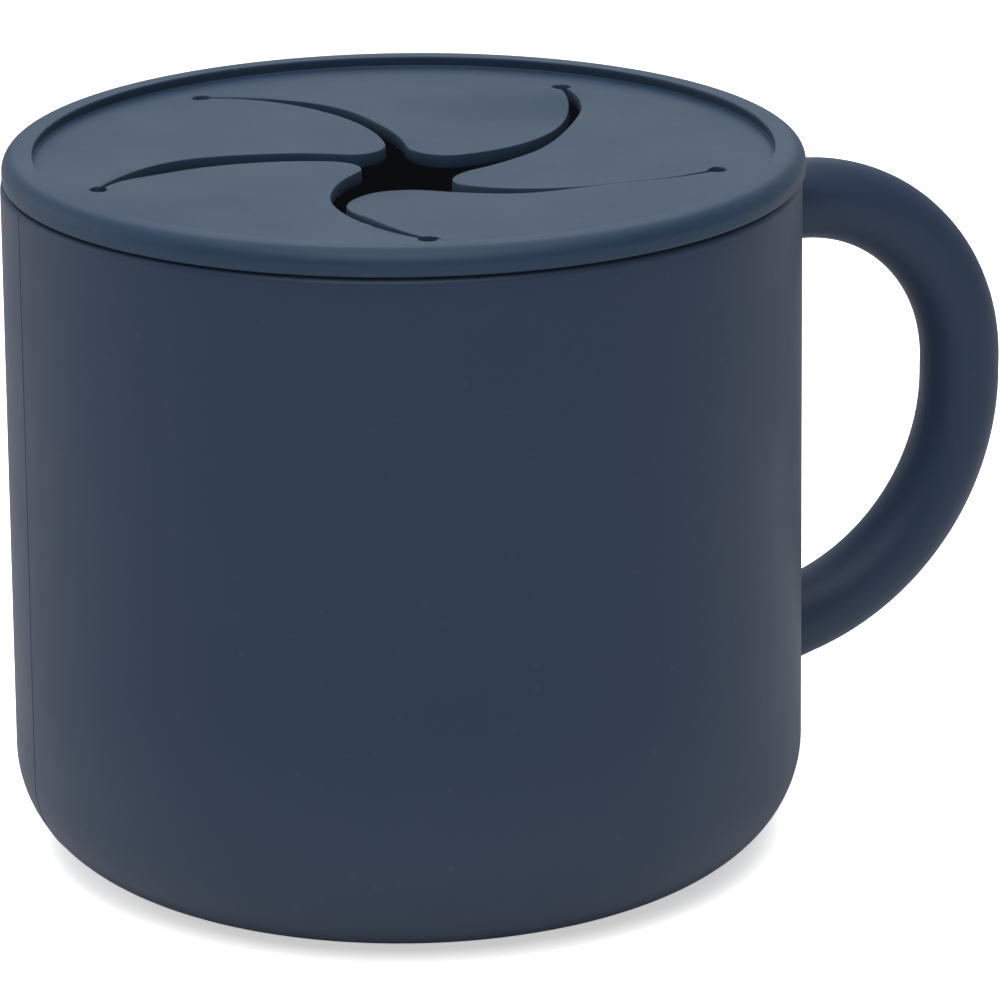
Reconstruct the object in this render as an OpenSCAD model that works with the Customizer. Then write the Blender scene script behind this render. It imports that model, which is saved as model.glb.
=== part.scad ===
// Toddler snack cup: a moulded silicone cup with a loop handle, and a push-in
// lid whose top is cut by five swirling slits into five soft flaps.
// Origin: centre of the underside, +Z up, handle along +X. Millimetres.

/* [Cup] */
// Outside diameter at the mouth
cup_d = 88.3; // [80:0.1:100]
// How much further out the wall stands above the foot than at the mouth
cup_flare = 0.4; // [0:0.1:1.5]
// Height of the cup from the table to its top edge
cup_h = 77.8; // [72:0.1:110]
// Thickness of the side wall
cup_wall = 2.8; // [2:0.1:4]
// Thickness of the floor
cup_floor = 3; // [2:0.1:6]
// Radius of the rounded foot
foot_round = 12.2; // [6:0.1:12.4]
// Radius on the two edges of the mouth
lip_round = 0.5; // [0.2:0.1:0.9]

/* [Handle] */
// Diameter of the round bar
handle_d = 9.2; // [7:0.1:9.6]
// How far the handle stands out from the cup's wall
handle_reach = 29.55; // [28:0.05:45]
// Depth of the middle of the upper run below the cup's mouth
handle_drop = 8.6; // [5.8:0.1:14]
// Bend radius of the upper corner, at the middle of the bar
handle_top_bend = 21.3; // [14:0.1:24]
// Length of the upright run between the two bends
handle_upright = 2; // [0.5:0.1:2.4]
// Bend radius of the lower corner, at the middle of the bar
handle_low_bend = 27.9; // [22:0.1:28.2]
// Slope of the lower run where it meets the wall, in degrees
handle_low_slope = 17; // [10:1:24]

/* [Lid] */
// How far the rim stands out past the cup's wall
rim_overhang = 0; // [0:0.1:3]
// Height of the rim above the cup's mouth
rim_h = 2.6; // [2.5:0.1:4]
// Width of the rim, seen from above
rim_w = 2.75; // [2.5:0.05:6]
// Radius of the rim's outer shoulder
rim_round = 1.8; // [0.8:0.1:2.2]
// Depth of the web below the top of the rim
web_recess = 1.2; // [0.6:0.1:1.6]
// Thickness of the web and of the flaps
web_t = 1.5; // [1:0.1:2]
// Slope of the step from the rim down to the web, sideways
step_slope = 0.3; // [0.1:0.1:0.8]
// Depth of the plug below the cup's mouth
plug_depth = 8; // [6:0.5:14]
// Thickness of the plug's wall
plug_wall = 2; // [1.2:0.1:3]
// Height of each of the two sealing beads round the plug
bead_h = 0.6; // [0.3:0.1:0.9]
// Gap between the sealing beads and the cup's wall
bead_gap = 0.3; // [0.2:0.05:0.6]
// Gap between the rim and the cup's mouth
seat_gap = 0.2; // [0.1:0.05:0.5]
// How far the lid is turned in the cup, in degrees
lid_turn = 37.4; // [0:0.1:72]

/* [Slits and flaps] */
// Distance from the outer end of each slit to the edge of the web
slit_margin = 5.8; // [4.5:0.1:8]
// Bend radius of the slit's edge on the flap that the slit belongs to
own_bend = 21.2; // [20:0.1:24]
// How far beyond the lid's centre that edge would run
own_past = 1.8; // [0:0.1:2.5]
// Bend radius of the slit's other edge, which is the neighbouring flap's
far_bend = 25; // [24:0.1:29]
// How far before the lid's centre that edge would pass
far_short = 2.2; // [1.5:0.1:3.5]
// Width of each slit at its outer end
slit_w = 0.5; // [0.4:0.05:1]
// Diameter of the round hole that ends each slit
slit_hole_d = 2; // [1.4:0.1:2.6]
// Length of slit, from its hole, that lies outside the neighbouring flap's root
root_setback = 8; // [7:0.1:11]
// Radius of the rounded tip of each flap
tip_round = 4.3; // [3:0.1:5]
// How far each flap hangs down under its own weight, in degrees
flap_sag = 4; // [0:0.5:8]
// Gap between the rounded root of a flap and its groove in the web
root_gap = 0.2; // [0.15:0.05:0.4]

/* [Hidden] */
$fn = 144;
cut = 1;                // how far a cutting shape runs past what it cuts
silicone = "#46566a";
flap_silicone = "#5a6a7c";

cup_r = cup_d / 2;
bore_r = cup_r - cup_wall;
handle_r = handle_d / 2;
handle_x = cup_r + handle_reach - handle_r;       // middle of the upright run
handle_top_z = cup_h - handle_drop;
top_bend_x = handle_x - handle_top_bend;          // centre of the upper bend
top_bend_z = handle_top_z - handle_top_bend;
low_bend_x = handle_x - handle_low_bend;          // centre of the lower bend
low_bend_z = top_bend_z - handle_upright;
low_bend_angle = 90 - handle_low_slope;
low_run = low_bend_x / 2;                         // long enough to reach the wall

lid_r = cup_r + rim_overhang;
seat_z = cup_h + seat_gap;
lid_top = seat_z + rim_h;
rim_in_r = lid_r - rim_w;
web_r = rim_in_r - step_slope;
web_top = lid_top - web_recess;
web_mid = web_top - web_t / 2;
plug_r = bore_r - bead_gap - bead_h;
plug_low = seat_z - plug_depth;
bead_spread = plug_depth / 2;                     // from one bead to the other
bead_zs = [seat_z - plug_depth / 4, seat_z - plug_depth / 4 - bead_spread];
under_round = 0.4;      // the rim's lower edge
root_step = 0.1;        // each face of a flap stands this far above its root

// Five flaps, each drawn in a frame whose +X runs through its own slit's end.
flap_count = 5;
flap_step = 360 / flap_count;
slit_end_r = web_r - slit_margin;
own_off = own_bend + own_past;                    // lid's centre to an arc's centre
far_off = far_bend - far_short;
own_edge = own_bend - slit_w / 2;                 // the slit's two edges
far_edge = far_bend + slit_w / 2;
function lead(off, bend) = acos((off^2 + slit_end_r^2 - bend^2) / (2 * off * slit_end_r));
function spot(r, turn) = r * [cos(turn), sin(turn)];
function own_centre(i) = spot(own_off, lead(own_off, own_bend) + i * flap_step);
function far_centre(i) = spot(far_off, lead(far_off, far_bend) + i * flap_step);
function heading(v) = atan2(v[1], v[0]);
function turned_back(from, to) = from - ((from - to) % 360 + 360) % 360;
function arc_points(centre, r, from, to, steps) =
    [for (i = [0 : steps]) centre + spot(r, from + (to - from) * i / steps)];

// The root runs straight from the slit's end to a point on the next slit.
slit_end = [slit_end_r, 0];
next_end = spot(slit_end_r, flap_step);
next_end_at = heading(next_end - far_centre(1));
setback_at = next_end_at - root_setback / far_bend * 180 / PI;
root_end = far_centre(1) + spot(far_bend, setback_at);
root_at = heading(root_end - slit_end);
root_len = norm(root_end - slit_end);
root_r = web_t / 2 - root_step;

// The tip's circle touches the flap's own arc from inside and the far one from outside.
tip_a = own_edge - tip_round;
tip_b = far_edge + tip_round;
tip_span = norm(far_centre(1) - own_centre(0));
tip_along = (tip_a^2 - tip_b^2 + tip_span^2) / (2 * tip_span);
tip_side = sqrt(tip_a^2 - tip_along^2);
span_at = heading(far_centre(1) - own_centre(0));
tip_centre = own_centre(0) + spot(tip_along, span_at) + spot(tip_side, span_at + 90);

// Half outline of a round pot of radius r at the top: a rounded foot, and a wall
// that leans out towards it by the flare.
module pot_outline(r, h, round_r) {
    low_r = r + cup_flare;
    square([low_r - round_r, round_r]);
    polygon([[0, round_r], [low_r, round_r], [r, h], [0, h]]);
    translate([low_r - round_r, round_r]) circle(round_r);
}

// What is cut off an outline to round the corner at [r, z]; to_x and to_y are
// 1 or -1 and point out of the corner.
module corner_cut(r, z, round_r, to_x, to_y) {
    translate([r, z]) mirror([to_x < 0 ? 1 : 0, 0]) mirror([0, to_y < 0 ? 1 : 0])
        translate([-round_r, -round_r]) difference() {
            square(round_r + cut);
            circle(round_r, $fn = 48);
        }
}

module cup() {
    color(silicone) rotate_extrude() difference() {
        pot_outline(cup_r, cup_h, foot_round);
        translate([0, cup_floor])
            pot_outline(bore_r, cup_h - cup_floor, foot_round - cup_wall);
        translate([0, cup_h - lip_round]) square([bore_r, lip_round + cut]);
        corner_cut(cup_r, cup_h, lip_round, 1, 1);
        corner_cut(bore_r, cup_h, lip_round, -1, 1);
    }
}

// A bend that starts upright at +X and turns up and in, round its own centre.
module handle_bend(bend, sweep) {
    rotate([90, 0, 0]) rotate_extrude(angle = sweep)
        translate([bend, 0]) circle(handle_r, $fn = 72);
}

module handle_bar(length) {
    cylinder(h = length, r = handle_r, $fn = 72);
}

// The bar runs into the wall and is trimmed to the wall's own face.
module handle() {
    color(silicone) difference() {
        union() {
            translate([0, 0, handle_top_z]) rotate([0, 90, 0]) handle_bar(top_bend_x);
            translate([top_bend_x, 0, top_bend_z]) handle_bend(handle_top_bend, 90);
            translate([handle_x, 0, low_bend_z]) handle_bar(handle_upright);
            translate([low_bend_x, 0, low_bend_z]) mirror([0, 0, 1]) {
                handle_bend(handle_low_bend, low_bend_angle);
                rotate([0, -low_bend_angle, 0]) translate([handle_low_bend, 0, 0])
                    handle_bar(low_run);
            }
        }
        rotate_extrude() pot_outline(cup_r, cup_h, foot_round);
    }
}

// Half outline of the lid before its top is slit: rim, web, plug and beads.
module lid_outline() {
    difference() {
        union() {
            translate([plug_r - plug_wall, seat_z])
                square([lid_r - plug_r + plug_wall, rim_h]);
            translate([0, web_top - web_t]) square([plug_r, web_t]);
            translate([plug_r - plug_wall, plug_low])
                square([plug_wall, web_top - plug_low]);
            for (z = bead_zs) translate([plug_r, z]) circle(bead_h, $fn = 48);
        }
        polygon([[0, web_top], [web_r, web_top], [rim_in_r, lid_top],
            [rim_in_r, lid_top + cut], [0, lid_top + cut]]);
        corner_cut(lid_r, lid_top, rim_round, 1, 1);
        corner_cut(lid_r, seat_z, under_round, 1, -1);
    }
}

// Everything on the lid's side of flap i's root line.
module inside_root(i) {
    rotate(i * flap_step) translate(slit_end) rotate(root_at)
        translate([-2 * lid_r, 0]) square([4 * lid_r, 2 * lid_r]);
}

// One flap's share of the cut-out in the web, up to the far edge of its own slit.
module flap_window() {
    intersection() {
        translate(far_centre(0)) circle(far_edge);
        inside_root(0);
        inside_root(1);
    }
}

// The straight round-edged root, which both the flap and its groove follow.
module root_bar(r, trim) {
    translate([slit_end_r, 0, web_mid]) rotate([0, 0, root_at]) rotate([0, 90, 0])
        translate([0, 0, trim]) cylinder(h = root_len - 2 * trim, r = r, $fn = 48);
}

// Room below a root's axis for the underside of a flap that is pushed down.
module root_relief() {
    wide = root_r + root_gap;
    translate([slit_end_r, 0, web_mid]) rotate([0, 0, root_at])
        translate([0, -wide, -web_t]) cube([root_len, wide, web_t]);
}

module lid() {
    color(silicone) difference() {
        rotate_extrude() lid_outline();
        for (i = [0 : flap_count - 1]) rotate([0, 0, lid_turn + i * flap_step]) {
            translate([0, 0, web_top - web_t - cut])
                linear_extrude(web_t + 2 * cut) flap_window();
            translate([slit_end_r, 0, web_top - web_t - cut])
                cylinder(h = web_t + 2 * cut, d = slit_hole_d, $fn = 48);
            root_bar(root_r + root_gap, 0);
            root_relief();
        }
    }
}

// Outline of a flap: in along its own slit, round the tip, and out along the next slit.
module flap_outline() {
    own_from = heading(slit_end - own_centre(0));
    own_to = turned_back(own_from, heading(tip_centre - own_centre(0)));
    tip_to = turned_back(own_to, heading(far_centre(1) - tip_centre));
    far_from = turned_back(setback_at, heading(tip_centre - far_centre(1)));
    difference() {
        intersection() {
            polygon(concat(
                arc_points(own_centre(0), own_edge, own_from, own_to, 30),
                arc_points(tip_centre, tip_round, own_to, tip_to, 12),
                arc_points(far_centre(1), far_edge, far_from, setback_at, 30)));
            inside_root(0);
        }
        translate(slit_end) circle(d = slit_hole_d, $fn = 48);
    }
}

module flap(i) {
    color(flap_silicone) rotate([0, 0, lid_turn + i * flap_step])
        translate([slit_end_r, 0, web_mid]) rotate([0, 0, root_at]) rotate([-flap_sag, 0, 0])
        rotate([0, 0, -root_at]) translate([-slit_end_r, 0, -web_mid]) {
            translate([0, 0, web_top - web_t]) linear_extrude(web_t) flap_outline();
            root_bar(root_r, slit_hole_d);
        }
}

cup();
handle();
lid();
flap(0);  // flap_1
flap(1);  // flap_2
flap(2);  // flap_3
flap(3);  // flap_4
flap(4);  // flap_5
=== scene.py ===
"""Looks of the toddler snack cup: silicone cup with a loop handle, and a lid cut into five soft flaps."""
import math

import bpy
from mathutils import Matrix, Vector


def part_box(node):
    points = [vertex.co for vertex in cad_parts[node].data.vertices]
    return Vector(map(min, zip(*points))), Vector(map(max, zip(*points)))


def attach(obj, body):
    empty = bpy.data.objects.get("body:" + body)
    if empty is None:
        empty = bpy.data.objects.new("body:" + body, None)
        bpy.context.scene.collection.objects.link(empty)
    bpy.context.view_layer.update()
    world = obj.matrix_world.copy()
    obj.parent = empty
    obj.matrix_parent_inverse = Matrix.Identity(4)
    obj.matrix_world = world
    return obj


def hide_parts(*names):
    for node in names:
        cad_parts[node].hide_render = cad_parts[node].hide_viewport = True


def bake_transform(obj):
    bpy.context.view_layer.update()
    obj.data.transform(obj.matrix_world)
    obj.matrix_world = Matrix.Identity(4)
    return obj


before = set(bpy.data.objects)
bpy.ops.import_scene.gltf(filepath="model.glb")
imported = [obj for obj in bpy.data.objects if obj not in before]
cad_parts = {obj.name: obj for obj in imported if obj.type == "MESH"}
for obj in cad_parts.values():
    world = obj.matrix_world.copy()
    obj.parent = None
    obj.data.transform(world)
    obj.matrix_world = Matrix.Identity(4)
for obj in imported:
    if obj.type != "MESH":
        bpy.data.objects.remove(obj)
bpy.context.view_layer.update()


# ---- Cup ----
# A thick soft pot of silicone, pressed in a two-part mould: rounded foot, straight wall, small round lip.
# It is one moulding with the handle. The mould's halves meet in a fine raised line down the far side.
MM = 0.001                                            # sizes are in millimetres, the frame is in metres
cup_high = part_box("cup")[1]
CUP_FLARE = 0.4                                       # how much wider the wall is at the foot, each side
CUP_R = cup_high[0] / MM - CUP_FLARE
CUP_H = cup_high[2] / MM
CUP_WALL = 2.8
CUP_FLOOR = 3.0
BORE_R = CUP_R - CUP_WALL
FOOT_ROUND = 12.2
LIP_ROUND = 0.75
LIP_DROP = 0.3                                        # how far the lid presses the soft lip down
UNDERSIDE_STEPS = 6
FOOT_STEPS = 24
WALL_STEPS = 24
LIP_STEPS = 6
BORE_STEPS = 12
BORE_FOOT_STEPS = 16
FLOOR_STEPS = 5
TURN_STEP = 1.5                                       # degrees between two upright rows of the round wall
LINE_AT = 180.0                                       # the parting line's turn, away from the handle
LINE_HIGH = 0.06
LINE_WIDE = 0.26
LINE_CLEAR = 1.0                                      # degrees beside the line that have rows of their own
LINE_ROWS = (-3.0, -1.5, -1.0, -0.66, -0.33, 0.0, 0.33, 0.66, 1.0, 1.5, 3.0)
LINE_FIRST = 7                                        # the section point where the line starts, in the foot
LINE_OVER_LIP = 4                                     # how many points of the lip it still crosses


def make_piece(name, points, faces, crease_deg=35.0):
    """Turns points in millimetres and faces into a smooth-shaded object whose sharp folds stay sharp."""
    mesh = bpy.data.meshes.new(name)
    mesh.from_pydata([Vector(p) * MM for p in points], [], faces)
    mesh.validate()
    mesh.shade_smooth()
    mesh.set_sharp_from_angle(angle=math.radians(crease_deg))
    piece = bpy.data.objects.new(name, mesh)
    bpy.context.scene.collection.objects.link(piece)
    return piece


def arc(centre, radius, start_deg, end_deg, steps):
    """Points on an arc in a plane, both ends included."""
    turns = [math.radians(start_deg + (end_deg - start_deg) * i / steps) for i in range(steps + 1)]
    return [(centre[0] + radius * math.cos(t), centre[1] + radius * math.sin(t)) for t in turns]


def joined_rings(rings, closed_across=False):
    """Faces between rings of equal length, where each ring is a list of point numbers."""
    faces = []
    pairs = list(zip(rings, rings[1:]))
    if closed_across:
        pairs.append((rings[-1], rings[0]))
    for lower, upper in pairs:
        for i in range(len(lower)):
            j = (i + 1) % len(lower)
            faces.append((lower[i], lower[j], upper[j], upper[i]))
    return faces


def add_node(tree, kind, values=None, **settings):
    """A node of a material or of the world, with its settings and the values of its sockets."""
    node = tree.nodes.new(kind)
    for setting, choice in settings.items():
        setattr(node, setting, choice)
    for socket, value in (values or {}).items():
        node.inputs[socket].default_value = value
    return node


def silicone(name, base, bloom, roughness, foot_light_up_to, dust, swell):
    """Satin moulded silicone: mould grain, a cloudy dry bloom, specks of dust, and a foot painted paler as
    painted light.
    """
    material = bpy.data.materials.new(name)
    material.use_nodes = True
    tree = material.node_tree
    tree.nodes.clear()
    links = tree.links
    out = add_node(tree, "ShaderNodeOutputMaterial")
    # The silicone is given a faint glow, painted light, so its inside and cut faces are never quite black.
    skin = add_node(tree, "ShaderNodeBsdfPrincipled", {
        "IOR": 1.41,
        "Specular Tint": (0.85, 0.97, 1.0, 1.0),
        "Sheen Weight": 0.02,
        "Sheen Roughness": 0.45,
        "Sheen Tint": (0.85, 0.92, 1.0, 1.0),
        "Emission Color": (0.86, 0.90, 1.0, 1.0),
        "Emission Strength": 0.004,
    })
    links.new(skin.outputs["BSDF"], out.inputs["Surface"])
    place = add_node(tree, "ShaderNodeTexCoord").outputs["Object"]

    # The dry bloom lies in clouds over the base colour, and is duller than the clean skin.
    cloud = add_node(tree, "ShaderNodeTexNoise", {"Scale": 38.0, "Detail": 4.0, "Roughness": 0.6})
    cloud_span = add_node(tree, "ShaderNodeMapRange", {"From Min": 0.35, "From Max": 0.75})
    bloomed = add_node(tree, "ShaderNodeMix", {"A": (*base, 1.0), "B": (*bloom, 1.0)}, data_type="RGBA")
    dull = add_node(tree, "ShaderNodeMapRange", {"To Min": roughness - 0.05, "To Max": roughness + 0.07})
    links.new(place, cloud.inputs["Vector"])
    links.new(cloud.outputs["Fac"], cloud_span.inputs["Value"])
    links.new(cloud_span.outputs["Result"], bloomed.inputs["Factor"])
    links.new(cloud_span.outputs["Result"], dull.inputs["Value"])
    links.new(dull.outputs["Result"], skin.inputs["Roughness"])

    # Low down the skin is painted a little paler: painted light, standing in for the light that reaches the
    # foot from low in front.
    height = add_node(tree, "ShaderNodeSeparateXYZ")
    low = add_node(tree, "ShaderNodeMapRange",
                   {"From Min": foot_light_up_to, "From Max": foot_light_up_to * 0.35, "To Max": 0.75},
                   interpolation_type="SMOOTHSTEP")
    lit_foot = add_node(tree, "ShaderNodeMix", {"B": (0.041, 0.064, 0.112, 1.0)}, data_type="RGBA")
    links.new(place, height.inputs["Vector"])
    links.new(height.outputs["Z"], low.inputs["Value"])
    links.new(low.outputs["Result"], lit_foot.inputs["Factor"])
    links.new(bloomed.outputs["Result"], lit_foot.inputs["A"])

    # Dust: small faint dots in those cells whose own number is high.
    specks = add_node(tree, "ShaderNodeTexVoronoi", {"Scale": 420.0})
    near = add_node(tree, "ShaderNodeMapRange", {"From Min": 0.20, "From Max": 0.02})
    chosen = add_node(tree, "ShaderNodeSeparateColor")
    rare = add_node(tree, "ShaderNodeMapRange", {"From Min": 0.55, "From Max": 0.99, "To Max": dust})
    speck = add_node(tree, "ShaderNodeMath", operation="MULTIPLY")
    dusted = add_node(tree, "ShaderNodeMix", {"B": (0.42, 0.45, 0.48, 1.0)}, data_type="RGBA")
    links.new(place, specks.inputs["Vector"])
    links.new(specks.outputs["Distance"], near.inputs["Value"])
    links.new(specks.outputs["Color"], chosen.inputs["Color"])
    links.new(chosen.outputs["Red"], rare.inputs["Value"])
    links.new(near.outputs["Result"], speck.inputs[0])
    links.new(rare.outputs["Result"], speck.inputs[1])
    links.new(speck.outputs["Value"], dusted.inputs["Factor"])
    links.new(lit_foot.outputs["Result"], dusted.inputs["A"])
    links.new(dusted.outputs["Result"], skin.inputs["Base Color"])

    # Mould grain: a fine noise over a broader, very shallow unevenness.
    grain = add_node(tree, "ShaderNodeTexNoise", {"Scale": 2600.0, "Detail": 3.0})
    fine = add_node(tree, "ShaderNodeBump", {"Strength": 0.35, "Distance": 0.00006})
    uneven = add_node(tree, "ShaderNodeTexNoise", {"Scale": 120.0, "Detail": 2.0})
    broad = add_node(tree, "ShaderNodeBump", {"Strength": swell, "Distance": 0.0004})
    links.new(place, grain.inputs["Vector"])
    links.new(grain.outputs["Fac"], fine.inputs["Height"])
    links.new(place, uneven.inputs["Vector"])
    links.new(uneven.outputs["Fac"], broad.inputs["Height"])
    links.new(fine.outputs["Normal"], broad.inputs["Normal"])
    links.new(broad.outputs["Normal"], skin.inputs["Normal"])
    return material


def cup_section():
    """Half section from beside the middle of the underside, up the outside, and down the inside."""
    low_r = CUP_R + CUP_FLARE
    underside_r = low_r - FOOT_ROUND
    bore_foot_round = FOOT_ROUND - CUP_WALL
    floor_r = BORE_R + CUP_FLARE - bore_foot_round
    floor_bend = CUP_FLOOR + bore_foot_round
    lip_z = CUP_H - LIP_DROP - LIP_ROUND
    wall_high = lip_z - FOOT_ROUND
    bore_high = lip_z - floor_bend
    section = [(underside_r * i / UNDERSIDE_STEPS, 0.0) for i in range(1, UNDERSIDE_STEPS)]
    section += arc((underside_r, FOOT_ROUND), FOOT_ROUND, -90, 0, FOOT_STEPS)
    section += [(low_r - CUP_FLARE * i / WALL_STEPS, FOOT_ROUND + wall_high * i / WALL_STEPS)
                for i in range(1, WALL_STEPS)]
    section += arc((CUP_R - LIP_ROUND, lip_z), LIP_ROUND, 0, 90, LIP_STEPS)
    section += arc((BORE_R + LIP_ROUND, lip_z), LIP_ROUND, 90, 180, LIP_STEPS)
    section += [(BORE_R + CUP_FLARE * i / BORE_STEPS, lip_z - bore_high * i / BORE_STEPS)
                for i in range(1, BORE_STEPS)]
    section += arc((floor_r, floor_bend), bore_foot_round, 0, -90, BORE_FOOT_STEPS)
    section += [(floor_r * (FLOOR_STEPS - i) / FLOOR_STEPS, CUP_FLOOR) for i in range(1, FLOOR_STEPS)]
    return section


def wall_turns():
    """The turns of the wall's upright rows, crowded where the parting line runs down."""
    half = math.degrees(LINE_WIDE / 2 / CUP_R)
    even = [i * TURN_STEP for i in range(round(360 / TURN_STEP))]
    plain = [turn for turn in even if abs(turn - LINE_AT) > LINE_CLEAR]
    return sorted(plain + [LINE_AT + half * row for row in LINE_ROWS])


def parting_swell(turn_deg):
    """How far the raised parting line stands out at this turn."""
    off = math.radians(abs(turn_deg - LINE_AT)) * CUP_R
    if off >= LINE_WIDE / 2:
        return 0.0
    return LINE_HIGH * 0.5 * (1 + math.cos(math.pi * off / (LINE_WIDE / 2)))


turns = wall_turns()
line_points = range(LINE_FIRST, UNDERSIDE_STEPS + FOOT_STEPS + WALL_STEPS - 1 + LINE_OVER_LIP)
points = [(0.0, 0.0, 0.0), (0.0, 0.0, CUP_FLOOR)]
rings = []
for at, (r, z) in enumerate(cup_section()):
    ring = []
    for turn in turns:
        reach = r + (parting_swell(turn) if at in line_points else 0.0)
        ring.append(len(points))
        points.append((reach * math.cos(math.radians(turn)), reach * math.sin(math.radians(turn)), z))
    rings.append(ring)
faces = joined_rings(rings)
for i in range(len(turns)):
    j = (i + 1) % len(turns)
    faces.append((0, rings[0][j], rings[0][i]))
    faces.append((1, rings[-1][i], rings[-1][j]))
cup = make_piece("cup_moulding", points, faces)
# Below 30 mm the cup's skin is painted gradually paler: painted light from low in front.
cup_silicone = silicone("cup_silicone_skin", base=(0.022, 0.042, 0.090), bloom=(0.027, 0.049, 0.100),
                        roughness=0.50, foot_light_up_to=0.030, dust=0.05, swell=0.25)
cup.data.materials.append(cup_silicone)
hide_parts("cup")
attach(cup, "cup_body")


# ---- Handle ----
# A solid round silicone bar bent into a loop for a small hand. It grows out of the cup's wall as one
# moulding, so its ends meet the wall in a crisp inside corner with no ring or fixing.
handle_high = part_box("handle")[1]
HANDLE_R = 4.6
HANDLE_BELOW_LIP = 8.6
HANDLE_TOP_Z = CUP_H - HANDLE_BELOW_LIP
HANDLE_X = handle_high[0] / MM - HANDLE_R
TOP_BEND = 21.3
LOW_BEND = 27.9
UPRIGHT = 2.0                                         # the straight piece between the two bends
LOW_SLOPE = 17.0                                      # how steeply the lower end runs down into the wall
END_SUNK = 1.2                                        # how far each end runs into the wall, hidden
TOP_BEND_STEPS = 40
LOW_BEND_STEPS = 44
BAR_SIDES = 64


def bar_ring(centre, way):
    """A round ring of the bar, square to its way in the plane y = 0."""
    side = (-way[1], way[0])
    ring = []
    for i in range(BAR_SIDES):
        t = 2 * math.pi * i / BAR_SIDES
        lift = HANDLE_R * math.cos(t)
        ring.append((centre[0] + side[0] * lift, HANDLE_R * math.sin(t), centre[1] + side[1] * lift))
    return ring


def run_into_wall(ring, way):
    """Slides each point of a ring along the bar until it lies just inside the cup's round wall."""
    moved = []
    for x, y, z in ring:
        reach = math.sqrt((CUP_R - END_SUNK) ** 2 - y * y)
        slide = (reach - x) / way[0]
        moved.append((reach, y, z + way[1] * slide))
    return moved


top_centre = (HANDLE_X - TOP_BEND, HANDLE_TOP_Z - TOP_BEND)
low_centre = (HANDLE_X - LOW_BEND, top_centre[1] - UPRIGHT)
path = arc(top_centre, TOP_BEND, 90, 0, TOP_BEND_STEPS)
path += arc(low_centre, LOW_BEND, 0, -(90 - LOW_SLOPE), LOW_BEND_STEPS)
low_turn = math.radians(LOW_SLOPE)
upper_way = Vector((1.0, 0.0))
lower_way = Vector((-math.cos(low_turn), -math.sin(low_turn)))
ways = [upper_way]
for before, after in zip(path, path[2:]):
    ways.append(Vector((after[0] - before[0], after[1] - before[1])).normalized())
ways.append(lower_way)
bar_rings = [bar_ring(spot, way) for spot, way in zip(path, ways)]
bar_rings.insert(0, run_into_wall(bar_rings[0], upper_way))
bar_rings.append(run_into_wall(bar_rings[-1], lower_way))
points = [p for ring in bar_rings for p in ring]
numbers = [[k * BAR_SIDES + i for i in range(BAR_SIDES)] for k in range(len(bar_rings))]
faces = joined_rings(numbers)
faces.append(tuple(reversed(numbers[0])))
faces.append(tuple(numbers[-1]))
handle = make_piece("handle_loop", points, faces)
handle.data.materials.append(cup_silicone)
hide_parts("handle")
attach(handle, "cup_body")


# ---- Lid ----
# A soft silicone lid, moulded in one: a rounded rim that sits on the cup's lip, a thin web one step lower
# that the flaps are cut in, and a plug with two sealing beads that is pushed into the cup's mouth. Five
# slits swirl in from small round holes near the rim to a star-shaped eye.
lid_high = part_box("lid")[1]
LID_R = CUP_R
LID_TOP = lid_high[2] / MM
SEAT_GAP = 0.2                                        # left under the rim before it is pressed down
SEAT_Z = CUP_H + SEAT_GAP
RIM_OFF = (0.26, -0.10)                               # how far off the cup's middle the rim sits
RIM_R = LID_R + 0.1
RIM_W = 3.35
RIM_LOW = SEAT_Z - LIP_DROP                           # the soft rim is pressed down with the lip
RIM_ROUND = 1.8                                       # the round of its outer edge
RIM_EDGE = 0.2                                        # the small round of its inner edge
RIM_UNDER = 0.4                                       # the small round of its underside
STEP_SLOPE = -0.15                                    # how far the step leans out, here back inwards
STEP_FOOT = ((-0.25, 0.0), (-0.07, 0.02), (0.03, 0.12))   # its inside round: out from its foot, and up
STEP_TOP = (0.01, -0.1)                               # its upper end: out from the rim's edge, and up
WEB_RECESS = 1.2
WEB_T = 1.5
WEB_R = LID_R - RIM_W - STEP_SLOPE
WEB_TOP = LID_TOP - WEB_RECESS
WEB_LOW = WEB_TOP - WEB_T
PLUG_GAP = 0.9                                        # room between plug and bore, which the beads close
PLUG_R = BORE_R - PLUG_GAP
PLUG_WALL = 2.0
PLUG_DEEP = 8.0
PLUG_LOW = SEAT_Z - PLUG_DEEP
PLUG_NECK = 0.2                                       # the small inside corner under the rim
PLUG_EDGE = 0.5                                       # the round of its lower edge
PLUG_FILLET = 0.8                                     # the inside round up to the web
BEAD_H = 0.6
BEAD_DROPS = (2.0, 6.0)                               # how far the beads lie below the seat
LID_TURN = 37.4                                       # where the first slit's hole lies, in degrees
FLAP_STEP = 72.0                                      # from one slit to the next
SLIT_END_R = 35.3
SLIT_W = 0.5
HOLE_R = 1.0
FAR_BEND = 25.0                                       # the bend of a slit's side away from its own flap
FAR_SHORT = 2.2                                       # how much nearer to the middle its centre lies
ROOT_SETBACK = 8.0                                    # how far along the next slit a flap's root ends
EDGE_ROUND = 0.13
EDGE_MIDWAY = 0.3                                     # where it has turned halfway, as a share of it
ROOT_STEPS = 24
SLIT_STEPS = 12
HOLE_STEPS = 24
RIM_EDGE_FROM = 150                                   # where the round of the inner edge starts, in degrees
RIM_EDGE_STEPS = 4
RIM_ROUND_STEPS = 14
RIM_UNDER_STEPS = 5
BEAD_STEPS = 8
PLUG_EDGE_STEPS = 4
PLUG_FILLET_STEPS = 5
WEB_TOP_SHARES = (0.15, 0.4, 0.7)                     # rings between the opening and the rim, on the web
WEB_LOW_SHARES = (0.4, 0.75)                          # rings between the plug and the opening, under it
FAN_PASSES = 40                                       # how often the turns of a lap are smoothed
CREPT_FLAP = 5                                        # use has pulled the slit beyond this flap open
CREPT_OPEN = 0.45
CREPT_AT = 8.0                                        # how far from its end hole it is widest
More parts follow.
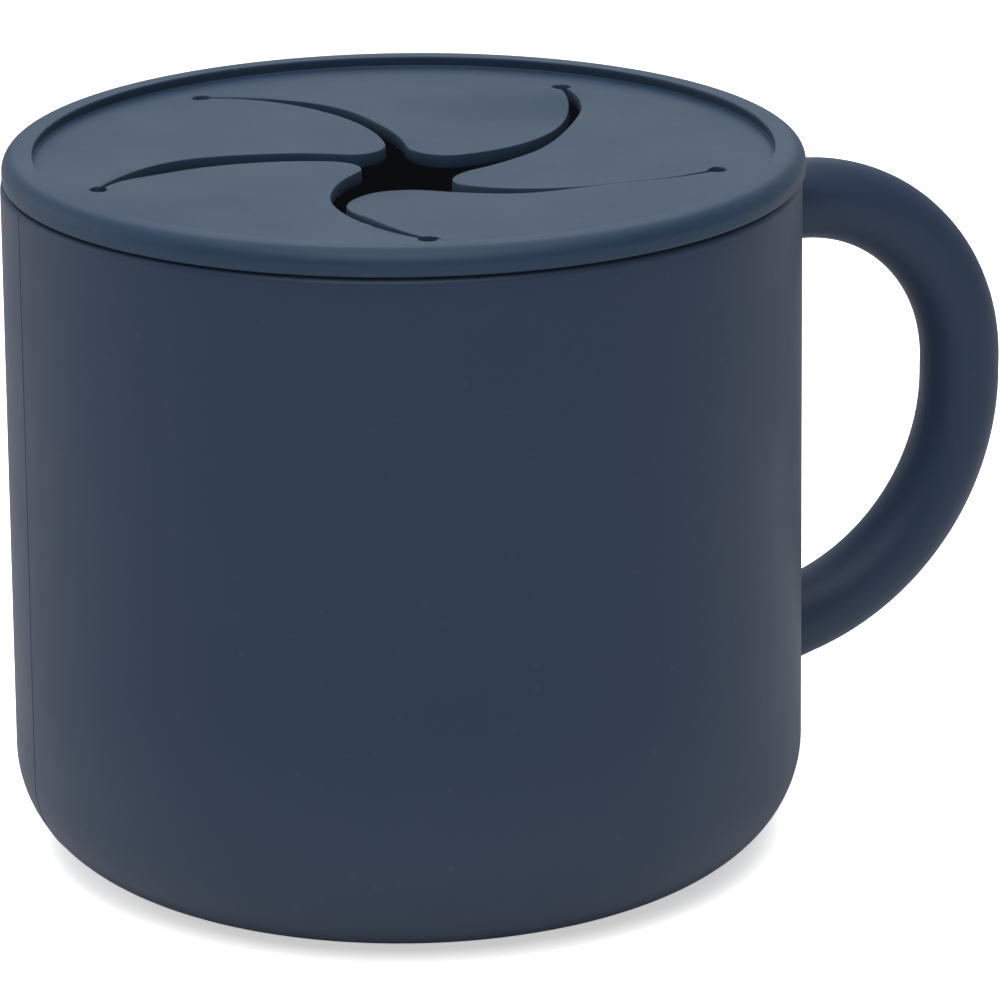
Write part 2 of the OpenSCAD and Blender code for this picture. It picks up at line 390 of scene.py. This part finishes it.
CREPT_RUN = 6.0                                       # how far it takes to fade along the slit
CREPT_OUT = 4.0                                       # how far it takes to fade into the web


def polar(radius, turn_deg):
    """The place at this distance and turn from the middle."""
    return Vector((radius * math.cos(math.radians(turn_deg)), radius * math.sin(math.radians(turn_deg))))


def heading(v):
    """The turn of a direction, in degrees."""
    return math.degrees(math.atan2(v[1], v[0]))


def turned_on(start, end):
    """The end turn, brought above the start turn."""
    while end < start:
        end += 360
    return end


def arc_lead(off, bend):
    """How far ahead of its slit's end an arc's centre lies, in degrees."""
    return math.degrees(math.acos((off ** 2 + SLIT_END_R ** 2 - bend ** 2) / (2 * off * SLIT_END_R)))


# A flap hangs from a straight root, between the hole of its own slit and a place on the next slit.
far_off = FAR_BEND - FAR_SHORT
next_centre = polar(far_off, arc_lead(far_off, FAR_BEND) + FLAP_STEP)
slit_out = FAR_BEND + SLIT_W / 2
slit_end = Vector((SLIT_END_R, 0.0))
next_end = polar(SLIT_END_R, FLAP_STEP)
next_end_at = heading(next_end - next_centre)
root_end = next_centre + polar(FAR_BEND, next_end_at - math.degrees(ROOT_SETBACK / FAR_BEND))
root_way = (root_end - slit_end).normalized()
root_in = Vector((-root_way[1], root_way[0]))         # from the root towards the flap's tip


def circle_meets_root(centre, radius, towards):
    """Where a circle crosses the root line, taking the crossing nearest to a given point."""
    along = (centre - slit_end).dot(root_way)
    off = (centre - slit_end).dot(root_in)
    half = math.sqrt(max(radius ** 2 - off ** 2, 0.0))
    crossings = [slit_end + root_way * (along + s * half) for s in (-1, 1)]
    return min(crossings, key=lambda c: (c - towards).length)


def circle_meets_circle(c1, r1, c2, r2, towards):
    """Where two circles cross, taking the crossing nearest to a given point."""
    span = (c2 - c1).length
    along = (r1 ** 2 - r2 ** 2 + span ** 2) / (2 * span)
    side = math.sqrt(max(r1 ** 2 - along ** 2, 0.0))
    way = (c2 - c1) / span
    turned = Vector((-way[1], way[0]))
    crossings = [c1 + way * along + turned * side * s for s in (-1, 1)]
    return min(crossings, key=lambda c: (c - towards).length)


def crept(spot, number):
    """Moves a point beside the slit that use has pulled open near its end; the other slits are tight."""
    if number != CREPT_FLAP:
        return spot
    off = spot - next_centre
    beyond = off.length - FAR_BEND
    run = math.radians((next_end_at - heading(off) + 180) % 360 - 180) * FAR_BEND
    side = min(max((beyond + SLIT_W / 2) / SLIT_W, 0.0), 1.0)
    fade = math.exp(-((run - CREPT_AT) / CREPT_RUN) ** 2 - (max(beyond, 0.0) / CREPT_OUT) ** 2)
    return spot + off.normalized() * CREPT_OPEN * side * fade


def lid_opening():
    """One fifth of the edge of the cut-out in the web: (place, outward way, edge round) along it."""
    own_hole = circle_meets_root(slit_end, HOLE_R, root_end)
    next_corner = circle_meets_root(next_centre, slit_out, root_end)
    edge = [(own_hole.lerp(next_corner, i / ROOT_STEPS), root_in, 0.0) for i in range(ROOT_STEPS + 1)]
    start = heading(next_corner - next_centre)
    hole_in = circle_meets_circle(next_centre, slit_out, next_end, HOLE_R, root_end)
    stop = heading(hole_in - next_centre)
    for i in range(1, SLIT_STEPS + 1):
        t = start + (stop - start) * i / SLIT_STEPS
        edge.append((next_centre + polar(slit_out, t), polar(-1.0, t), EDGE_ROUND))
    start = heading(hole_in - next_end)
    next_way = Matrix.Rotation(math.radians(FLAP_STEP), 2) @ root_way
    stop = turned_on(start, heading(next_way))
    for i in range(1, HOLE_STEPS):
        t = start + (stop - start) * i / HOLE_STEPS
        edge.append((next_end + polar(HOLE_R, t), polar(-1.0, t), EDGE_ROUND))
    return edge


opening = []
for number in range(1, 6):
    spin = Matrix.Rotation(math.radians(LID_TURN + FLAP_STEP * (number - 1)), 2)
    opening += [(spin @ crept(spot, number), spin @ out, bevel) for spot, out, bevel in lid_opening()]
count = len(opening)

# Every ring of the lid has one point for each point of the opening. Their turns, seen from the middle,
# run back a little round the holes, so they are smoothed into a steady lap.
lap = [0.0]
for i in range(count):
    lap.append(lap[-1] + (opening[(i + 1) % count][0] - opening[i][0]).length)
base_turn = math.atan2(opening[0][0][1], opening[0][0][0])
fan = []
for i in range(count):
    spot = opening[i][0]
    seen = math.atan2(spot[1], spot[0])
    even = base_turn + 2 * math.pi * lap[i] / lap[count]
    fan.append(seen + 2 * math.pi * round((even - seen) / (2 * math.pi)))
for _ in range(FAN_PASSES):
    fan = [(fan[i - 1] - (2 * math.pi if i == 0 else 0) + 2 * fan[i]
            + fan[(i + 1) % count] + (2 * math.pi if i == count - 1 else 0)) / 4 for i in range(count)]


def opening_ring(inset, z_of):
    """A ring that follows the cut-out's edge, set back from it by a share of the edge's small round."""
    return [(spot[0] - out[0] * bevel * inset, spot[1] - out[1] * bevel * inset, z_of(bevel))
            for spot, out, bevel in opening]


def round_ring(radius, z):
    """A round ring about the cup's middle."""
    return [(radius * math.cos(t), radius * math.sin(t), z) for t in fan]


def rim_ring(radius, z):
    """A ring of the rim, which is pressed on a little off the middle."""
    return [(x + RIM_OFF[0], y + RIM_OFF[1], z) for x, y, z in round_ring(radius, z)]


def between(ring_a, ring_b, share):
    """A ring part of the way from one ring to another."""
    return [tuple(a + (b - a) * share for a, b in zip(p, q)) for p, q in zip(ring_a, ring_b)]


# From the opening's edge over the web, the step and the rim, down the plug and back under the web.
rim_in = WEB_R + STEP_SLOPE
step_high = LID_TOP - RIM_EDGE
rim_profile = [(WEB_R + out, WEB_TOP + up) for out, up in STEP_FOOT]
rim_profile.append((rim_in + STEP_TOP[0], step_high + STEP_TOP[1]))
rim_profile += arc((rim_in + RIM_EDGE, step_high), RIM_EDGE, RIM_EDGE_FROM, 90, RIM_EDGE_STEPS)
rim_profile.append(((rim_in + RIM_R - RIM_ROUND) / 2, LID_TOP))
rim_profile += arc((RIM_R - RIM_ROUND, LID_TOP - RIM_ROUND), RIM_ROUND, 90, 0, RIM_ROUND_STEPS)
rim_profile += arc((RIM_R - RIM_UNDER, RIM_LOW + RIM_UNDER), RIM_UNDER, 0, -90, RIM_UNDER_STEPS)
plug_in = PLUG_R - PLUG_WALL
plug_edge_z = PLUG_LOW + PLUG_EDGE
plug_profile = [(PLUG_R + PLUG_NECK, RIM_LOW), (PLUG_R, RIM_LOW - PLUG_NECK)]
for drop in BEAD_DROPS:
    plug_profile += arc((PLUG_R, SEAT_Z - drop), BEAD_H, 90, -90, BEAD_STEPS)
plug_profile += arc((PLUG_R - PLUG_EDGE, plug_edge_z), PLUG_EDGE, 0, -90, PLUG_EDGE_STEPS)
plug_profile += arc((plug_in + PLUG_EDGE, plug_edge_z), PLUG_EDGE, -90, -180, PLUG_EDGE_STEPS)
plug_profile += arc((plug_in - PLUG_FILLET, WEB_LOW - PLUG_FILLET), PLUG_FILLET, 0, 90, PLUG_FILLET_STEPS)
rim_rings = [rim_ring(r, z) for r, z in rim_profile]
plug_rings = [round_ring(r, z) for r, z in plug_profile]
web_edge_top = opening_ring(1.0, lambda b: WEB_TOP)
web_edge_low = opening_ring(1.0, lambda b: WEB_LOW)
web_rim_low = round_ring(plug_in - PLUG_FILLET, WEB_LOW)
lid_rings = [web_edge_top]
lid_rings += [between(web_edge_top, rim_rings[0], share) for share in WEB_TOP_SHARES]
lid_rings += rim_rings + plug_rings
lid_rings += [between(web_rim_low, web_edge_low, share) for share in WEB_LOW_SHARES]
lid_rings.append(web_edge_low)
lid_rings.append(opening_ring(EDGE_MIDWAY, lambda b: WEB_LOW + b * EDGE_MIDWAY))
lid_rings.append(opening_ring(0.0, lambda b: WEB_LOW + b))
lid_rings.append(opening_ring(0.0, lambda b: WEB_TOP - b))
lid_rings.append(opening_ring(EDGE_MIDWAY, lambda b: WEB_TOP - b * EDGE_MIDWAY))
points = [p for ring in lid_rings for p in ring]
numbers = [[k * count + i for i in range(count)] for k in range(len(lid_rings))]
lid = make_piece("lid_moulding", points, joined_rings(numbers, closed_across=True))
# The lid stands on nothing, so the height up to which it would be painted paler, as painted light, lies far
# below it.
lid_silicone = silicone("lid_silicone_skin", base=(0.021, 0.050, 0.101), bloom=(0.026, 0.058, 0.112),
                        roughness=0.52, foot_light_up_to=0.001, dust=0.08, swell=0.12)
lid.data.materials.append(lid_silicone)
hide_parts("lid")
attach(lid, "lid_body")


# ---- Flaps ----
# Five soft blades cut out of the same web. Each has a rounded tip, keeps the web's thickness, and sags a
# little under its own weight from its root, where it stays joined to the web.
OWN_BEND = 21.2                                       # the bend of the flap's own long edge
OWN_PAST = 1.8                                        # how much further from the middle its centre lies
TIP_ROUND = 4.3
WEB_MID = WEB_TOP - WEB_T / 2
# For each flap: how far it sags and twists, in degrees, how far it drops past its root, in millimetres,
# how far it leans sideways, in degrees, and how far its far edge has drawn back from the next slit, in
# millimetres.
SAGS = {
    1: (1.2, -2.7, 0.6, 4.0, 0.0),
    2: (1.9, 1.1, 0.2, 2.0, 0.1),
    3: (1.7, -1.0, 0.15, 3.3, 0.1),
    4: (6.6, 4.5, 0.10, 0.8, 0.0),
    5: (3.9, 3.3, 0.6, -0.5, 0.35),
}
SAG_LENGTH = 6.0                                      # the sag bends this much of the flap beyond its root
EASE_LENGTH = 12.0                                    # its twist, drop and lean come in over this length
TWIST_AT = 17.0                                       # how far along the root the twist turns about
DRAWN_BIAS = 0.6                                      # brings the most drawn-back place nearer to the root
SNUG_FLAP = 5                                         # its own edge lies close to its slit's far side
SNUG = 0.36
SNUG_ROW = 8.5                                        # where along its edge that is, in rows from the root
SNUG_SPAN = 4.5
OWN_HOLE_STEPS = 8
OWN_STEPS = 60
FAR_STEPS = 50
TIP_STEPS = 16
ROWS = 44                                             # rows of faces from the root to the tip
ACROSS = 10                                           # faces from one long edge to the other

# The round tip touches the flap's own slit from inside and the next slit from outside.
own_off = OWN_BEND + OWN_PAST
own_centre = polar(own_off, arc_lead(own_off, OWN_BEND))
slit_in = OWN_BEND - SLIT_W / 2
tip_a = slit_in - TIP_ROUND
tip_b = slit_out + TIP_ROUND
tip_span = (next_centre - own_centre).length
tip_along = (tip_a ** 2 - tip_b ** 2 + tip_span ** 2) / (2 * tip_span)
tip_side = math.sqrt(tip_a ** 2 - tip_along ** 2)
span_way = (next_centre - own_centre) / tip_span
tip_centre = own_centre + span_way * tip_along + Vector((-span_way[1], span_way[0])) * tip_side


def turned_back(start, end):
    """The end turn, brought below the start turn."""
    return start - ((start - end) % 360)


def resampled(line, count):
    """The same line with evenly spaced points."""
    lengths = [0.0]
    for a, b in zip(line, line[1:]):
        lengths.append(lengths[-1] + (b - a).length)
    even = []
    k = 0
    for i in range(count + 1):
        want = lengths[-1] * i / count
        while k < len(line) - 2 and lengths[k + 1] < want:
            k += 1
        share = (want - lengths[k]) / max(lengths[k + 1] - lengths[k], 1e-9)
        even.append(line[k].lerp(line[k + 1], share))
    return even


def sweep(centre, radius, start, stop, steps):
    """Places along an arc about a centre, both ends included."""
    return [centre + polar(radius, start + (stop - start) * i / steps) for i in range(steps + 1)]


def flap_edges():
    """The flap's two long edges from its root to the middle of its round tip."""
    own_corner = circle_meets_circle(own_centre, slit_in, slit_end, HOLE_R, Vector((0, 0)))
    hole_root = circle_meets_root(slit_end, HOLE_R, root_end)
    hole_from = heading(hole_root - slit_end)
    hole_to = turned_on(hole_from, heading(own_corner - slit_end))
    own_from = heading(own_corner - own_centre)
    own_to = turned_back(own_from, heading(tip_centre - own_centre))
    tip_to = turned_back(own_to, heading(next_centre - tip_centre))
    tip_mid = (own_to + tip_to) / 2
    next_corner = circle_meets_root(next_centre, slit_out, root_end)
    next_from = heading(next_corner - next_centre)
    next_to = turned_back(next_from, heading(tip_centre - next_centre))
    own = sweep(slit_end, HOLE_R, hole_from, hole_to, OWN_HOLE_STEPS)[:-1]
    own += sweep(own_centre, slit_in, own_from, own_to, OWN_STEPS)
    own += sweep(tip_centre, TIP_ROUND, own_to, tip_mid, TIP_STEPS)[1:]
    far = sweep(next_centre, slit_out, next_from, next_to, FAR_STEPS)
    far += sweep(tip_centre, TIP_ROUND, tip_to, tip_mid, TIP_STEPS)[1:]
    return resampled(own, ROWS), resampled(far, ROWS)


def edge_ways(line, side):
    """The way out of the flap at each point of a line, on the given side of its run."""
    ways = []
    for i in range(len(line)):
        run = (line[min(i + 1, len(line) - 1)] - line[max(i - 1, 0)]).normalized()
        ways.append(Vector((-run[1], run[0])) * side)
    return ways


def sagged(spot, rise, number):
    """Bends a point of the flat flap down about its root; rise is its height above the web's middle."""
    sag_deg, twist_deg, fall, lean_deg, _ = SAGS[number]
    sag = math.radians(sag_deg)
    reach = (spot - slit_end).dot(root_in)
    along = (spot - slit_end).dot(root_way)
    inside = max(reach, 0.0)
    eased = min(inside / EASE_LENGTH, 1.0)
    eased = eased * eased * (3 - 2 * eased)
    turn = sag * min(inside, SAG_LENGTH) / SAG_LENGTH
    new_reach = SAG_LENGTH / sag * math.sin(turn)
    drop = SAG_LENGTH / sag * (1 - math.cos(turn))
    if reach > SAG_LENGTH:
        new_reach += (reach - SAG_LENGTH) * math.cos(sag)
        drop += (reach - SAG_LENGTH) * math.sin(sag)
    if reach < 0:
        new_reach = reach
    new_reach -= rise * math.sin(turn)
    drop += eased * (fall + math.radians(twist_deg) * (along - TWIST_AT))
    along += math.radians(lean_deg) * inside * eased
    return slit_end + root_way * along + root_in * new_reach, rise * math.cos(turn) - drop


own_edge, far_edge = flap_edges()
own_out = edge_ways(own_edge, 1)
far_out = edge_ways(far_edge, -1)
own_out[-1] = (own_edge[-1] - tip_centre).normalized()
far_out[-1] = own_out[-1]


def flap_mesh(number, spin):
    """Points and faces of one flap as it lies in its place: thick, sagged, and rounded at its edges."""
    half = WEB_T / 2
    snug = SNUG if number == SNUG_FLAP else 0.0
    drawn = SAGS[number][4]
    own_line = [spot + out * snug * math.exp(-((i - SNUG_ROW) / SNUG_SPAN) ** 2)
                for i, (spot, out) in enumerate(zip(own_edge, own_out))]
    far_line = [spot - out * drawn * math.sin(math.pi * (i / ROWS) ** DRAWN_BIAS)
                for i, (spot, out) in enumerate(zip(far_edge, far_out))]
    points = []

    def put(spot, rise):
        """Adds the place that a point of the flat flap has sagged to, and tells its number."""
        flat, up = sagged(crept(spot, number), rise, number)
        flat = spin @ flat
        points.append((flat[0], flat[1], WEB_MID + up))
        return len(points) - 1

    def border(line, outs, i, inset):
        """A border point, set in by a share of the edge's round, and how large that round is there."""
        bevel = EDGE_ROUND * min(1.0, i / 2)
        return line[i] - outs[i] * bevel * inset, bevel

    def broad_side(rise):
        """The top or the underside: its faces, and its border points in a loop."""
        grid = []
        for i in range(ROWS):
            left, _ = border(own_line, own_out, i, 1.0)
            right, _ = border(far_line, far_out, i, 1.0)
            grid.append([put(left.lerp(right, j / ACROSS), rise) for j in range(ACROSS + 1)])
        end, _ = border(own_line, own_out, ROWS, 1.0)
        apex = put(end, rise)
        side = [(low[j], low[j + 1], high[j + 1], high[j])
                for low, high in zip(grid, grid[1:]) for j in range(ACROSS)]
        side += [(grid[-1][j], grid[-1][j + 1], apex) for j in range(ACROSS)]
        if rise < 0:
            side = [tuple(reversed(face)) for face in side]
        loop = [row[0] for row in grid] + [apex] + [row[-1] for row in reversed(grid)]
        loop += list(reversed(grid[0][1:-1]))
        return side, loop

    def cut_loop(inset, rise_of):
        """A loop round the flap on its cut face, in the same order as the loops of the broad sides."""
        borders = [border(own_line, own_out, i, inset) for i in range(ROWS + 1)]
        borders += [border(far_line, far_out, i, inset) for i in reversed(range(ROWS))]
        borders += [(own_line[0].lerp(far_line[0], j / ACROSS), 0.0) for j in reversed(range(1, ACROSS))]
        return [put(spot, rise_of(bevel)) for spot, bevel in borders]

    top_faces, top_loop = broad_side(half)
    low_faces, low_loop = broad_side(-half)
    mids = [cut_loop(EDGE_MIDWAY, lambda b: half - b * EDGE_MIDWAY), cut_loop(0.0, lambda b: half - b),
            cut_loop(0.0, lambda b: b - half), cut_loop(EDGE_MIDWAY, lambda b: b * EDGE_MIDWAY - half)]
    faces = top_faces + low_faces
    for a, b in zip([top_loop] + mids, mids + [low_loop]):
        for i in range(len(a)):
            j = (i + 1) % len(a)
            faces.append((a[i], b[i], b[j], a[j]))
    return points, faces


for number in range(1, 6):
    name = f"flap_{number}"
    spin = Matrix.Rotation(math.radians(LID_TURN + FLAP_STEP * (number - 1)), 2)
    flap = make_piece(name + "_blade", *flap_mesh(number, spin))
    flap.data.materials.append(lid_silicone)
    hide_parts(name)
    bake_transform(flap)


# ---- Floor ----
# A wide sheet of plain white paper on a studio table. The cup stands on it, and its soft contact shadow
# stays on the paper.
FLOOR_HALF = 4.0                                      # in metres, as everything from here on
FLOOR_Z = -0.00002                                    # a hair under the foot, so the two faces don't fight
floor_mesh = bpy.data.meshes.new("floor")
floor_corners = [(-FLOOR_HALF, -FLOOR_HALF, FLOOR_Z), (FLOOR_HALF, -FLOOR_HALF, FLOOR_Z),
                 (FLOOR_HALF, FLOOR_HALF, FLOOR_Z), (-FLOOR_HALF, FLOOR_HALF, FLOOR_Z)]
floor_mesh.from_pydata(floor_corners, [], [(0, 1, 2, 3)])
floor = bpy.data.objects.new("floor", floor_mesh)
bpy.context.scene.collection.objects.link(floor)
floor_paper = bpy.data.materials.new("floor_paint")
floor_paper.use_nodes = True
tree = floor_paper.node_tree
tree.nodes.clear()
links = tree.links
matt = add_node(tree, "ShaderNodeBsdfDiffuse", {"Color": (0.95, 0.95, 0.95, 1.0)})
# In the picture the floor is exposed to white, so the camera sees it brighter than the cup does.
bright_matt = add_node(tree, "ShaderNodeBsdfDiffuse", {"Color": (2.07, 1.99, 1.90, 1.0)})
bright_glow = add_node(tree, "ShaderNodeEmission", {"Strength": 0.55})
seen_floor = add_node(tree, "ShaderNodeAddShader")
links.new(bright_matt.outputs["BSDF"], seen_floor.inputs[0])
links.new(bright_glow.outputs["Emission"], seen_floor.inputs[1])
# Further out the paper is lit by itself, to plain white.
place = add_node(tree, "ShaderNodeTexCoord")
reach = add_node(tree, "ShaderNodeVectorMath", operation="LENGTH")
far_share = add_node(tree, "ShaderNodeMapRange", {"From Min": 0.10, "From Max": 0.60},
                     interpolation_type="SMOOTHSTEP")
plain_white = add_node(tree, "ShaderNodeEmission", {"Strength": 1.05})
camera_floor = add_node(tree, "ShaderNodeMixShader")
links.new(place.outputs["Object"], reach.inputs[0])
links.new(reach.outputs["Value"], far_share.inputs["Value"])
links.new(far_share.outputs["Result"], camera_floor.inputs["Fac"])
links.new(seen_floor.outputs["Shader"], camera_floor.inputs[1])
links.new(plain_white.outputs["Emission"], camera_floor.inputs[2])
light_path = add_node(tree, "ShaderNodeLightPath")
from_above = add_node(tree, "ShaderNodeMixShader")
links.new(light_path.outputs["Is Camera Ray"], from_above.inputs["Fac"])
links.new(matt.outputs["BSDF"], from_above.inputs[1])
links.new(camera_floor.outputs["Shader"], from_above.inputs[2])
# From below, the floor is clear, so that the cup's underside can be looked at.
facing = add_node(tree, "ShaderNodeNewGeometry")
clear = add_node(tree, "ShaderNodeBsdfTransparent")
one_sided = add_node(tree, "ShaderNodeMixShader")
out = add_node(tree, "ShaderNodeOutputMaterial")
links.new(facing.outputs["Backfacing"], one_sided.inputs["Fac"])
links.new(from_above.outputs["Shader"], one_sided.inputs[1])
links.new(clear.outputs["BSDF"], one_sided.inputs[2])
links.new(one_sided.outputs["Shader"], out.inputs["Surface"])
floor.data.materials.append(floor_paper)


# ---- Room and backdrop ----
# The studio round the cup: bright behind it, where the white backdrop hangs, and dark behind the camera.
# The camera itself sees plain white on all sides.
ROOM_TINT = (0.94, 1.04, 1.13)
BACKDROP_WAY = (0.375, 0.927, 0.0)
world = bpy.data.worlds.new("studio")
bpy.context.scene.world = world
world.use_nodes = True
tree = world.node_tree
tree.nodes.clear()
links = tree.links
sky = add_node(tree, "ShaderNodeTexCoord")
towards = add_node(tree, "ShaderNodeVectorMath", {1: BACKDROP_WAY}, operation="DOT_PRODUCT")
backdrop = add_node(tree, "ShaderNodeMapRange",
                    {"From Min": -0.1, "From Max": 0.8, "To Min": 0.0, "To Max": 0.45},
                    interpolation_type="SMOOTHSTEP")
room = add_node(tree, "ShaderNodeBackground", {"Color": (*ROOM_TINT, 1.0)})
white = add_node(tree, "ShaderNodeBackground", {"Color": (1.0, 1.0, 1.0, 1.0), "Strength": 1.0})
light_path = add_node(tree, "ShaderNodeLightPath")
blended = add_node(tree, "ShaderNodeMixShader")
out = add_node(tree, "ShaderNodeOutputWorld")
links.new(sky.outputs["Generated"], towards.inputs[0])
links.new(towards.outputs["Value"], backdrop.inputs["Value"])
links.new(backdrop.outputs["Result"], room.inputs["Strength"])
links.new(light_path.outputs["Is Camera Ray"], blended.inputs["Fac"])
links.new(room.outputs["Background"], blended.inputs[1])
links.new(white.outputs["Background"], blended.inputs[2])
links.new(blended.outputs["Shader"], out.inputs["Surface"])


# ---- Lights ----
# Four soft boxes: over the cup, over the camera, at the left rear, and behind the cup. The glare of the
# last one shows on the lid.
SOFT_BOX_AIM = 0.04                                   # how high on the cup's middle line the boxes are aimed


def soft_box(name, place, width, height, watts):
    """A soft box at a place, turned to the cup."""
    lamp = bpy.data.lights.new(name, "AREA")
    lamp.shape = "RECTANGLE"
    lamp.size = width
    lamp.size_y = height
    lamp.energy = watts
    holder = bpy.data.objects.new(name, lamp)
    bpy.context.scene.collection.objects.link(holder)
    holder.location = place
    aim = Vector((0.0, 0.0, SOFT_BOX_AIM)) - Vector(place)
    holder.rotation_euler = aim.to_track_quat("-Z", "Y").to_euler()
    return holder


soft_box("top_box", (0.0, 0.0, 1.10), width=1.2, height=1.2, watts=5.1)
soft_box("front_box", (-0.25, -0.6, 1.0), width=0.9, height=0.9, watts=6.0)
soft_box("left_rear_box", (-0.95, 0.8, 0.35), width=0.7, height=0.6, watts=2.06)
rear_box = soft_box("rear_box", (0.36, 0.9, 0.7), width=0.8, height=0.8, watts=1.4)
rear_box.data.color = ROOM_TINT


# ---- Camera ----
# A long lens that looks down a little over the cup's rim, with the handle to the right, as in the
# photograph.
CAMERA_AT = (-0.214294, -0.558556, 0.234316)
CAMERA_AHEAD = (0.35615, 0.8815, -0.31004)
CAMERA_RIGHT = (0.9262, -0.37695, -0.00778)
camera_data = bpy.data.cameras.new("camera")
camera_data.lens = 201.6
camera_data.sensor_width = 36.0
camera_data.clip_end = 20.0
camera = bpy.data.objects.new("camera", camera_data)
bpy.context.scene.collection.objects.link(camera)
ahead = Vector(CAMERA_AHEAD).normalized()
right = Vector(CAMERA_RIGHT).normalized()
up = right.cross(ahead).normalized()
turn = Matrix((right, up, -ahead)).transposed().to_4x4()
camera.matrix_world = Matrix.Translation(CAMERA_AT) @ turn
bpy.context.scene.camera = camera
bpy.context.scene.view_settings.view_transform = "Standard"
